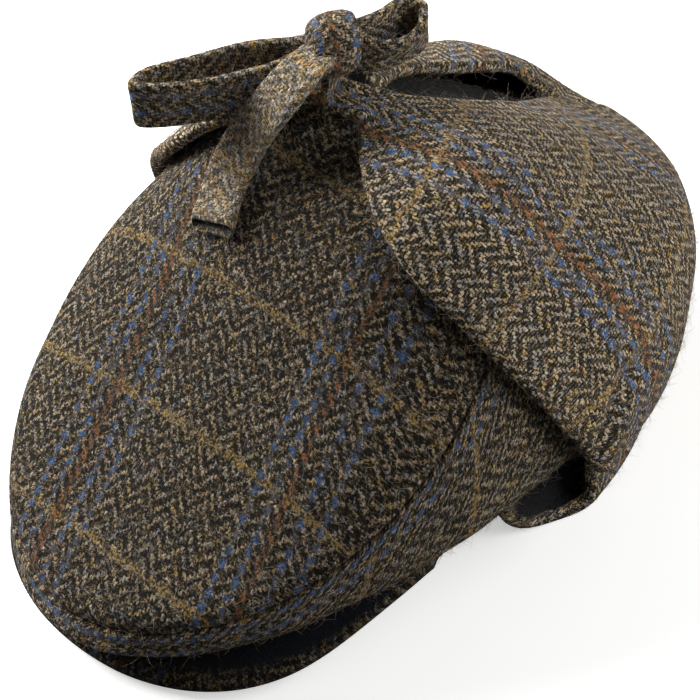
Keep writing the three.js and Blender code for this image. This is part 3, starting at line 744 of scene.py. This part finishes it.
def makeFlap(side, name):
    # The stations are joined along smooth curves. Both faces lie half a thickness off the middle, less and
    # less towards the edges, which makes them round.
    size = flapMake
    half, beads = size["thickness"] / 2, size["beadColumns"]
    stations = len(flapFold["share"]) + len(flapRise["level"]) + len(flapTies[side])
    trial = flapStations(side, np.repeat([np.linspace(0, 1, size["trialColumns"])], stations, 0))
    width = lengthAlong(trial, 1)[:, -1:]
    bead = np.broadcast_to(half * (1 - np.cos(np.linspace(0, np.pi / 2, beads))), (stations, beads))
    field = np.linspace(0, 1, size["columns"])[None, 1:-1]
    inset = join([bead, half + field * (width - 2 * half), width - bead[:, ::-1]], 1)
    middle = flapStations(side, inset / width)
    run = lengthAlong(middle, 0).mean(1)
    at = np.linspace(0, run[-1], size["rows"])
    fine, fineInset, fineWidth = (smoothThrough(run, part, at) for part in (middle, inset, width))
    count = fine.shape[1]
    # the cloth is never quite even, and the left flap has a pinch
    normal = sheetNormal(fine)
    insideHead = np.array([0, 0, 60])
    outward = np.sign((normal * (fine - insideHead)).sum(-1)[size["rows"] // 2, count // 2])
    uneven = softWaves(fine, *size["waves"][side], size["unevenness"])
    uneven *= fade(at, size["waveStart"], size["waveFade"])[:, None]
    if side == "Left":
        uneven += pinched(fine)
    fine += normal * (outward * uneven)[..., None]
    near = np.minimum(fineInset, fineWidth - fineInset)
    thick = roundedEdge(near, half)
    thick *= 1 + size["edgeRoll"] * bell((near - size["rollPlace"]) / size["rollWidth"])
    off = sheetNormal(fine) * (outward * thick)[..., None]
    rings = join([fine + off, (fine - off)[:, -2:0:-1]], 1)
    rings[..., 2] = np.maximum(rings[..., 2], 0.0)
    # cloth lies straight along a line from the tie down the flap
    rowPick = np.arange(0, size["rows"], size["flatRows"])
    columnPick = np.unique(np.append(np.arange(0, count, size["flatColumns"]), count - 1))
    coarse = fine[rowPick][:, columnPick]
    across = lengthAlong(coarse, 1)
    straight = across[:, len(columnPick) // size["straightShare"]][:, None]
    flat = layFlat(coarse, pairUp(across - straight, at[rowPick][:, None]))
    columnPlaces = np.interp(np.arange(count), columnPick, np.arange(len(columnPick)))
    face = betweenGrid(flat, np.arange(size["rows"]) / size["flatRows"], columnPlaces)
    under = face.copy()
    for edge in (slice(size["edgeColumns"] - 1, None, -1), slice(-size["edgeColumns"], None)):
        face[:, edge], under[:, edge] = overEdge(face[:, edge], thick[:, edge])
    cloth = join([face, under[:, -2:0:-1], face[:, :1]], 1)
    navyShare = fade(near[:, -2:0:-1], size["liningStart"], size["liningFade"])
    liningAndShade = join([np.zeros(fine.shape[:2]), navyShare], 1)
    if side == "Right":
        rings = rings * np.array([-1, 1, 1])
    return loftMesh(name, rings, cloth, liningAndShade)


earFlapLeft = settle(makeFlap("Left", "earFlapLeft"), "ear_flap_left", "flapTweed")
earFlapRight = settle(makeFlap("Right", "earFlapRight"), "ear_flap_right", "flapTweed")

# Bow of flat ties
strap = {"width": 17.0, "thickness": 3.6, "stepsPerStation": 12, "around": 40, "edgeFullness": 0.18,
         "sway": 0.035, "swayLength": 7.0, "knotPinch": 0.24, "pinchReach": 20.0}
# the last column paints the hollow inside an open end navy-dark, as painted shade
strapHem = {"deep": 7.0, "swell": 0.45, "flare": 0.06, "slant": 1.1, "slantReach": 3.0, "stepSharpness": 1.4,
            "stitchDip": 0.7, "stitchPlace": 1.2, "stitchWidth": 1.1,
            "inwards": [0.35, 0.0, -1.5, -5.0], "width": [0.96, 0.93, 0.90, 0.86],
            "thickness": [0.62, 0.45, 0.40, 0.36], "clothLength": [0.8, 1.6, 3, 6], "hollowShade": [0, 0.6, 1, 1]}
# each tie: node, place of the cut on the cloth, side of the good face, open end, and its stations, which are
# a place and the heading of the strap's width there
bowPaths = {
    "bowTailFront": ("bow_tail_front", (40.0, 10.0), 1, True, [
        (-10.5, 5, 156, 0.98, -0.1, -0.05), (-9.5, -5.5, 156, 0.98, -0.1, -0.05),
        (-13, -16, 147.5, 0.9, -0.25, -0.36), (-22, -21.5, 132.5, 0.93, -0.18, -0.3),
        (-26, -30.5, 118.2, 1, 0, 0), (-21.5, -44.5, 107, 0.99, 0.06, 0.1)]),
    "bowLoopRight": ("bow_loop_right", (9.6, 0.0), -1, False, [
        (-12, 4, 153, -0.1, 0.1, 1), (-21.6, -11.5, 145, -0.1, 0.1, 1), (-29.5, -18.7, 142.5, 0, 0, 1),
        (-37.4, -29, 142, 0, 0, 1), (-46, -39, 142, 0, 0, 1), (-53, -43.5, 142, 0, 0, 1),
        (-55, -37, 142, 0, 0, 1), (-47, -20.4, 142.5, 0, 0, 1), (-39.4, -9.2, 143.5, 0, 0, 1),
        (-30.4, -2.5, 146.5, 0, 0, 1), (-15, 6, 152, 0, 0, 1)]),
    "bowLoopLeft": ("bow_loop_left", (30.0, 30.0), 1, False, [
        (-8, 11, 153, 0.3, 0.1, 0.9), (-1, 18, 149.5, 0.4, 0.2, 0.85), (1.3, 26, 148, 0.45, 0.2, 0.85),
        (1.2, 34, 148, 0.3, 0.1, 0.95), (-2.5, 40, 149, 0, 0, 1), (-7.5, 36, 150.5, 0, 0, 1),
        (-7.6, 26, 152.5, 0, 0, 1), (-11, 13, 154.5, 0, 0, 1)]),
    "bowTailBack": ("bow_tail_back", (26.0, 0.0), 1, True, [
        (-15, 14, 151, 0.1, 1, -0.1), (-25, 15, 147, 0.1, 1, -0.12), (-35, 12, 142, 0.1, 1, -0.15),
        (-45, 8, 136.5, 0.1, 1, -0.1), (-54, 5, 130.5, 0.1, 1, -0.1)]),
}
knotWrap = {"axis": (0.50, 0.86, 0.06), "steps": 72, "width": 15.5, "thickness": 3.8, "around": 40,
            "sunk": 1.6, "crowned": 1.6, "sway": 1.2, "clothPlace": 1.0}
knotCore = {"along": 9.2, "aside": 8.2, "high": 8.8, "rows": 24, "columns": 40, "clothRadius": 9.0}


def strapSection(around, width, thickness, fullness):
    # Flat oval from the middle of the back face round to it again: the faces are nearly straight and a little
    # fuller towards the two folded edges. The cloth's own width goes along with it, nought on the good face.
    flatness, rim, rimPower = 0.55, 1.9, 2.2
    turn = np.linspace(-np.pi / 2, 3 * np.pi / 2, around + 1)
    flatter = lambda wave: np.sign(wave) * np.abs(wave) ** flatness
    wide = width / 2 * flatter(np.cos(turn))
    deep = thickness / 2 * flatter(np.sin(turn))
    deep = deep * (1 - fullness + fullness * rim * np.abs(wide / (width / 2)) ** rimPower)
    run = lengthAlong(np.stack([wide, deep], -1), 0)
    return wide[:-1], deep[:-1], run[around // 2] - run


def makeStrap(name, cut, goodSide, openEnd, stations):
    # The section rides along a smooth line through the stations, square to it, with its width laid as given
    # there. An open end swells over its hem and turns into its own hollow, painted navy-dark inside as
    # painted shade.
    size, hem = strap, strapHem
    rows = np.array(stations, float)
    chords = np.linalg.norm(np.diff(rows[:, :3], axis=0), axis=-1)
    run = join([[0], np.cumsum(chords**0.5)])
    at = np.linspace(0, run[-1], size["stepsPerStation"] * (len(rows) - 1) + 1)
    centre, wide = smoothThrough(run, rows[:, :3], at), smoothThrough(run, rows[:, 3:], at)
    ahead = unit(np.gradient(centre, axis=0))
    wide = unit(wide - ahead * (wide * ahead).sum(-1, keepdims=True))
    thick = np.cross(ahead, wide) * goodSide
    length = lengthAlong(centre, 0)
    left = length[-1] - length
    fromKnot = length if openEnd else np.minimum(length, left)
    wider = 1 + size["sway"] * np.sin(length / size["swayLength"] + len(rows))
    wider -= size["knotPinch"] * bell(fromKnot / size["pinchReach"])
    fuller = np.ones_like(length)
    # painted shade inside the open end's hollow
    hollowShade = np.zeros_like(length)
    if openEnd:
        wider += hem["flare"] * np.exp(-left / hem["deep"])
        doubled = 1 / (1 + np.exp((left - hem["deep"]) * hem["stepSharpness"]))
        stitched = bell((left - hem["deep"] - hem["stitchPlace"]) / hem["stitchWidth"])
        fuller += hem["swell"] * (doubled - hem["stitchDip"] * stitched)
        thick = thick - ahead * (hem["slant"] * np.exp(-left / hem["slantReach"]))[:, None]
        inwards = np.array(hem["inwards"])[:, None]
        centre = join([centre, centre[-1] + ahead[-1] * inwards])
        wide, thick = (join([part, part[-1] + 0 * inwards]) for part in (wide, thick))
        wider = np.append(wider, wider[-1] * np.array(hem["width"]))
        fuller = np.append(fuller, fuller[-1] * np.array(hem["thickness"]))
        length = np.append(length, length[-1] + np.array(hem["clothLength"]))
        hollowShade = np.append(hollowShade, hem["hollowShade"])
    across, deep, edge = strapSection(size["around"], size["width"], size["thickness"], size["edgeFullness"])
    rings = (centre[:, None] + wide[:, None] * (across * wider[:, None])[..., None]
             + thick[:, None] * (deep * fuller[:, None])[..., None])
    cloth = pairUp(edge[None] + cut[0], length[:, None] + cut[1])
    return loftMesh(name, rings, cloth, np.repeat(hollowShade[:, None], size["around"], 1))


def makeKnot():
    # A strap wound once round the middle of the bow, over a rounded core.
    place, size, core = knotPlace, knotWrap, knotCore
    centre = np.array(place["centre"])
    axis = unit(np.array(size["axis"]))
    side = unit(np.cross(axis, np.array([0, 0, 1.0])))
    high = np.cross(side, axis)
    turn = np.linspace(0, 2 * np.pi, size["steps"] + 1)[:-1, None]
    outwards = side * np.cos(turn) + high * np.sin(turn)
    radius = place["across"] - size["sunk"] + (place["high"] - place["across"]) * np.sin(turn) ** 2
    wide, deep, edge = strapSection(size["around"], size["width"], size["thickness"], 0.0)
    crowned = deep - size["crowned"] * (wide / (size["width"] / 2)) ** 2
    rings = (centre + outwards[:, None] * (radius + crowned)[..., None]
             + axis * (wide + size["sway"] * np.sin(turn))[..., None])
    length = np.linspace(0, 2 * np.pi * place["across"], size["steps"] + 1)[:, None]
    cloth = pairUp(edge[None] + size["clothPlace"], length)
    wrap = loftMesh("bowKnotWrap", rings, cloth, np.zeros(rings.shape[:2]), closedPath=True)
    up = np.linspace(0, np.pi, core["rows"] + 2)[1:-1, None]
    around = np.linspace(0, 2 * np.pi, core["columns"] + 1)
    aside, upwards = core["aside"] * np.sin(up) * np.cos(around), core["high"] * np.sin(up) * np.sin(around)
    rounds = (centre + axis * (core["along"] * np.cos(up))[..., None] + side * aside[..., None]
              + high * upwards[..., None])[:, :-1]
    roundCloth = core["clothRadius"] * pairUp(np.cos(up), around)
    lump = loftMesh("bowKnotCore", rounds, roundCloth, np.zeros(rounds.shape[:2]))
    return joinMeshes("bowKnot", [wrap, lump])


bowKnot = settle(makeKnot(), "bow_knot", "tieTweed")
bow = [bowKnot]
for pieceName, (node, *make) in bowPaths.items():
    finish = "tailTweed" if "Tail" in pieceName else "tieTweed"
    bow.append(settle(makeStrap(pieceName, *make), node, finish))

# Loose wool standing off the cloth
wool = {"rings": 4, "sides": 3, "length": (2.0, 6.5), "lean": (8.0, 50.0), "radius": 0.06, "tip": 0.3,
        "bend": 0.55, "droop": (0, 0.5), "clearOfFloor": 1.5, "bareBelow": 0.3,
        "skin": {"Base Color": (0.36, 0.31, 0.24, 1), "Roughness": 0.9, "Specular IOR Level": 0.1}}
woolSkin = newMaterial("looseWool", wool["skin"])[0]


def readAll(parts, key, width, kind=float):
    values = np.zeros(len(parts) * width, kind)
    parts.foreach_get(key, values)
    return values.reshape(-1, width)


def tweedTriangles(piece):
    # Corners of the faces that show tweed, in millimetres.
    mesh = piece.data
    mesh.calc_loop_triangles()
    place = readAll(mesh.vertices, "co", 3)
    mask = readAll(mesh.attributes["liningAndShade"].data, "value", 1)[:, 0]
    index = readAll(mesh.loop_triangles, "vertices", 3, int)
    return (place[index] * 1000)[mask[index].max(1) < wool["bareBelow"]]


def makeWool(name, pieces, count, seed):
    # Fibres start at places spread evenly over the tweed faces. Each leaves the face at its own lean, bends
    # as a parabola and is a three-sided tube that thins towards its tip.
    size, dice = wool, np.random.default_rng(seed)
    corners = join([tweedTriangles(piece) for piece in pieces])
    square = np.cross(corners[:, 1] - corners[:, 0], corners[:, 2] - corners[:, 0])
    area = np.linalg.norm(square, axis=-1)
    pick = np.searchsorted(np.cumsum(area) / area.sum(), dice.random(count)).clip(0, len(area) - 1)
    share = np.sort(dice.random((count, 2)), 1)
    root = (corners[pick] * np.diff(share, axis=1, prepend=0, append=1)[..., None]).sum(1)
    outwards = square[pick] / area[pick, None]
    flat = unit(np.cross(outwards, dice.normal(size=(count, 3))))
    lean = np.radians(dice.uniform(*size["lean"], count))[:, None]
    ahead = flat * np.cos(lean) + outwards * np.sin(lean)
    bend = np.cross(outwards, flat) * dice.normal(0, size["bend"], (count, 1))
    bend -= outwards * dice.uniform(*size["droop"], (count, 1)) * np.sin(lean)
    length = dice.uniform(*size["length"], count)[:, None, None]
    share = np.linspace(0, 1, size["rings"])[None, :, None]
    line = root[:, None] + (ahead[:, None] * share + bend[:, None] * share**2) * length
    side = unit(np.cross(ahead, outwards))
    turn = (np.arange(size["sides"]) * 2 * np.pi / size["sides"])[:, None]
    ring = side[:, None] * np.cos(turn) + np.cross(side, ahead)[:, None] * np.sin(turn)
    thin = size["radius"] * (1 - (1 - size["tip"]) * share)
    tubes = line[:, :, None] + ring[:, None] * thin[..., None]
    tubes = tubes[tubes[..., 2].min((1, 2)) > size["clearOfFloor"]]
    count, rings, sides = tubes.shape[:3]
    first = (np.arange(count) * rings * sides)[:, None, None, None]
    row, column = np.arange(rings - 1)[:, None, None], np.arange(sides)[None, :, None]
    down, on = np.array([(0, 0), (0, 1), (1, 1), (1, 0)]).T
    quads = first + (row + down) * sides + (column + on) % sides
    ends = np.stack([np.arange(sides)[::-1], (rings - 1) * sides + np.arange(sides)]) + first[:, :, 0]
    mesh = bpy.data.meshes.new(name)
    faces = quads.reshape(-1, 4).tolist() + ends.reshape(-1, sides).tolist()
    mesh.from_pydata((tubes.reshape(-1, 3) / 1000).tolist(), [], faces)
    mesh.materials.append(woolSkin)
    piece = addPiece(name, mesh)
    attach(piece, "root")
    print("made", name, count, "fibres")
    return piece


makeWool("crownWool", [crownTop, crownSide], 6000, 5)
makeWool("flapWool", [earFlapLeft, earFlapRight], 5000, 6)
makeWool("bowWool", bow, 1800, 7)

# Stage, light and camera
stage = {"half": 3.0, "bounce": (0.16, 0.16, 0.16, 1), "glow": 0.55,
         "skin": {"Emission Color": (0.93, 0.93, 0.92, 1), "Roughness": 0.9, "Specular IOR Level": 0.1}}
studio = {"ambient": 0.13, "backdrop": 0.75, "middle": (0, 0, 0.06)}
softBoxes = {  # heading, distance and size in metres, watts
    "left": ((-0.92, -0.18, 0.56), 1.1, 0.8, 30.0),
    "right": ((0.86, 0.66, 0.50), 1.1, 0.9, 10.5),
}
# the camera stands 50 degrees round from the front and 42 degrees up, turned by 7 degrees
view = {"towards": (0.569, -0.478, 0.669), "right": (0.700, 0.708, -0.091), "target": (0.0, -5.177, 60.0),
        "distance": 962.0, "focal": 2828.0, "aside": 16.0, "down": 36.5, "imageWidth": 700, "sensor": 36.0}

edge = stage["half"]
floorMesh = bpy.data.meshes.new("floor")
floorMesh.from_pydata([(-edge, -edge, 0), (edge, -edge, 0), (edge, edge, 0), (-edge, edge, 0)], [],
                      [(0, 1, 2, 3)])
floor = addObject("floor", floorMesh)
floorPaint, floorWire, floorSkin = newMaterial("paleFloor", stage["skin"])
seen = floorWire.add("ShaderNodeLightPath").outputs["Is Camera Ray"]
floorWire.plug(floorSkin["Base Color"], floorWire.mix(seen, stage["bounce"], stage["skin"]["Emission Color"]))
floorWire.plug(floorSkin["Emission Strength"], floorWire.math("MULTIPLY", seen, stage["glow"]))
floorMesh.materials.append(floorPaint)
floor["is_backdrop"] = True

world = bpy.data.worlds.new("studio")
bpy.context.scene.world = world
world.use_nodes = True
worldWire = NodeBench(world.node_tree)
worldSeen = worldWire.add("ShaderNodeLightPath").outputs["Is Camera Ray"]
worldLight = worldWire.math("MULTIPLY_ADD", worldSeen, studio["backdrop"], studio["ambient"])
backdrop = world.node_tree.nodes["Background"].inputs
backdrop["Color"].default_value = (1, 1, 1, 1)
worldWire.plug(backdrop["Strength"], worldLight)


def setMatrix(item, right, back, place):
    # The item looks along -Z of its own axes, with its right side as given.
    columns = np.column_stack([right, np.cross(back, right), back, place])
    item.matrix_world = Matrix(np.vstack([columns, [0, 0, 0, 1]]).tolist())


for name, (direction, distance, size, power) in softBoxes.items():
    light = bpy.data.lights.new(name + "Box", "AREA")
    light.shape = "SQUARE"
    light.size = size
    light.energy = power
    back = unit(np.array(direction))
    right = unit(np.cross([0, 0, 1.0], back))
    setMatrix(addObject(name + "Box", light), right, back, back * distance + np.array(studio["middle"]))

towards, right = (unit(np.array(view[key])) for key in ("towards", "right"))
aim = right * view["aside"] - unit(np.cross(towards, right)) * view["down"] - towards * view["focal"]
back = -unit(aim)
cameraData = bpy.data.cameras.new("camera")
cameraData.sensor_width = view["sensor"]
cameraData.lens = view["focal"] / view["imageWidth"] * view["sensor"]
camera = addObject("camera", cameraData)
eye = (np.array(view["target"]) + towards * view["distance"]) / 1000
setMatrix(camera, unit(right - back * (right @ back)), back, eye)
bpy.context.scene.camera = camera
bpy.context.scene.view_settings.view_transform = "Standard"
print("stage, light and camera set")

toLists = lambda box: [[float(part) for part in corner] for corner in box]
{"cad": toLists(cadBounds), "visual": toLists(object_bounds())}
